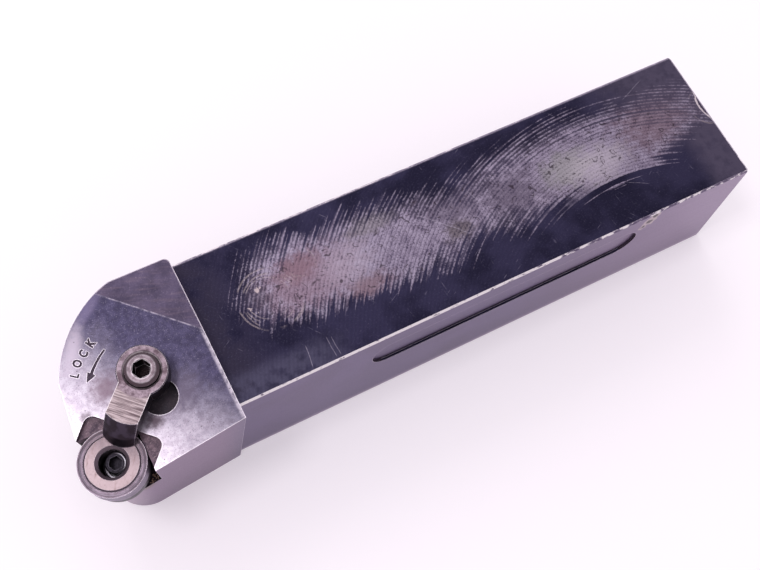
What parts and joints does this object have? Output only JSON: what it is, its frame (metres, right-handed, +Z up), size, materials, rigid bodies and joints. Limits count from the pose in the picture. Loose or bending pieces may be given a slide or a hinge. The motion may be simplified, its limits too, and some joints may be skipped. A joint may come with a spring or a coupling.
{
  "type": "turning tool holder",
  "caption": "Square-shank turning tool holder with a raised angled head, a round insert on a seat, a lock pin and a finger clamp with its socket screw.",
  "frame": {"origin": "on the flat underside, on the shank's centreline, where the shank meets the head's back face", "axes": "+X along the shank to its free end, +Z up out of the flat underside, so the cutting end points to -X and -Y"},
  "size_m": [0.152, 0.0378, 0.0412],
  "materials": {
    "holder_steel": "black-oxide steel, milled and worn bright on edges",
    "seat_carbide": "ground carbide",
    "insert_carbide": "pressed and ground carbide, uncoated",
    "pin_steel": "ground steel",
    "clamp_steel": "forged steel, browned, worn bright on edges",
    "screw_steel": "black steel with a bright chamfer"
  },
  "bodies": {
    "holder": {"holder_body": "holder_steel", "shim_seat": "seat_carbide", "insert": "insert_carbide"},
    "pin": {"lock_pin": "pin_steel"},
    "clamp": {"clamp": "clamp_steel"},
    "screw": {"clamp_screw": "screw_steel"}
  },
  "joints": [
    {"name": "lock_pin_turn", "type": "hinge", "parent": "holder", "child": "pin", "pos_m": [-0.02478, -0.01573, 0.03231], "axis": [-0.0868, -0.0868, 0.9924], "range_deg": [-180, 0]},
    {"name": "screw_turn", "type": "hinge", "parent": "holder", "child": "screw", "pos_m": [-0.01319, -0.00381, 0.03437], "axis": [-0.0868, -0.0868, 0.9924], "range_deg": [0, 540]},
    {"name": "clamp_lift", "type": "slide", "parent": "holder", "child": "clamp", "axis": [-0.0868, -0.0868, 0.9924], "range_m": [0, 0.00272]}
  ],
  "couplings": [
    {"joint": "screw_turn", "follows": "clamp_lift", "rad_per_m": 3463.7}
  ]
}
